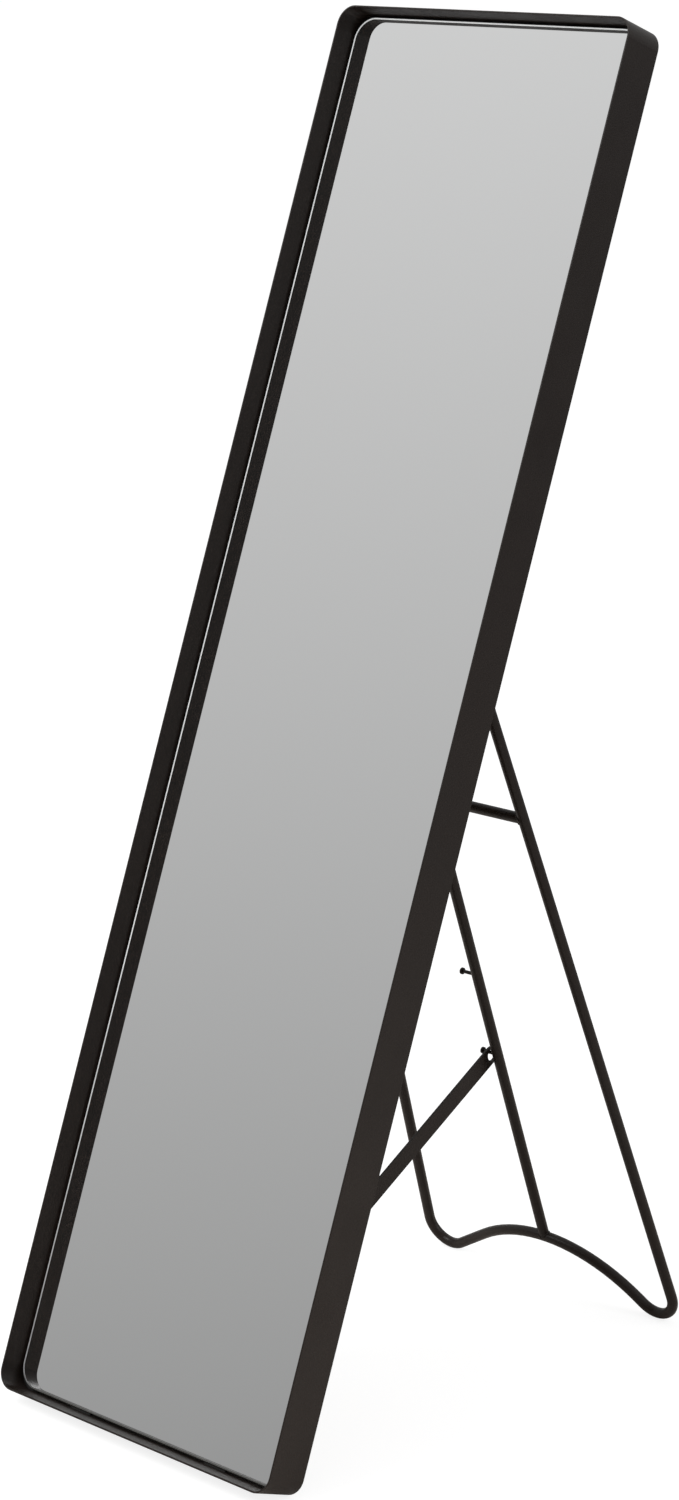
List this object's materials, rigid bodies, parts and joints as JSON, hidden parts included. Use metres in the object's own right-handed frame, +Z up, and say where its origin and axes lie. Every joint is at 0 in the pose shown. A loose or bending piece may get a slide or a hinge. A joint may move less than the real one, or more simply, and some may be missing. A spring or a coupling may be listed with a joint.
{
  "type": "leaning floor mirror",
  "caption": "Tall rectangular floor mirror in a deep black metal band, leaning back on a hinged easel stand of bent rod held by a strap hooked over a stud.",
  "frame": {"origin": "on the floor, on the mirror's centre line, at the centre of the footprint's bounding box", "axes": "+Z up, +X across the mirror to a viewer's right when facing its front, and the mirror faces -Y"},
  "size_m": [0.4, 0.6647, 1.424],
  "materials": {
    "powder_coat": "satin black powder coat",
    "mirror": "silvered float glass, polished edge",
    "foam_tape": "double-sided foam tape",
    "rubber_block": "matt",
    "board": "hardboard, smooth face",
    "zinc": "bright zinc plate",
    "black_plastic": "moulded, satin"
  },
  "bodies": {
    "mirror": {"frame_band": "powder_coat", "mirror_glass": "mirror", "glass_tape": "foam_tape", "setting_blocks": "rubber_block", "backing_board": "board", "board_tabs": "powder_coat", "board_screws": "zinc", "hinge_rail": "powder_coat", "lower_rail": "powder_coat", "hinge_bracket_left": "powder_coat", "hinge_bracket_right": "powder_coat", "hinge_bolts": "zinc", "hinge_washers": "zinc", "hinge_nuts": "zinc", "pin_lug_left": "powder_coat", "pin_lug_right": "powder_coat", "lower_pin": "zinc", "pin_caps": "black_plastic"},
    "stand": {"stand_loop": "powder_coat", "crossbar": "powder_coat", "centre_rod": "powder_coat", "stand_eye_left": "powder_coat", "stand_eye_right": "powder_coat", "upper_stud": "powder_coat", "lower_stud": "powder_coat"},
    "sleeve": {"strap_sleeve": "black_plastic", "sleeve_ring": "black_plastic"},
    "strap": {"brace_strap": "powder_coat"}
  },
  "joints": [
    {"name": "stand_fold", "type": "hinge", "parent": "mirror", "child": "stand", "pos_m": [0, 0.03864, 0.81868], "axis": [-1, 0, 0], "range_deg": [0, 39.8]},
    {"name": "strap_slide", "type": "slide", "parent": "mirror", "child": "sleeve", "axis": [-1, 0, 0], "range_m": [0, 0.0565]},
    {"name": "strap_swing", "type": "hinge", "parent": "sleeve", "child": "strap", "pos_m": [0.018, -0.27494, 0.01997], "axis": [1, 0, 0], "range_deg": [0, 41.3]}
  ],
  "couplings": [
    {"joint": "strap_slide", "follows": "stand_fold", "m_per_rad": 0.080617},
    {"joint": "strap_swing", "follows": "stand_fold", "ratio": 1.0329}
  ]
}
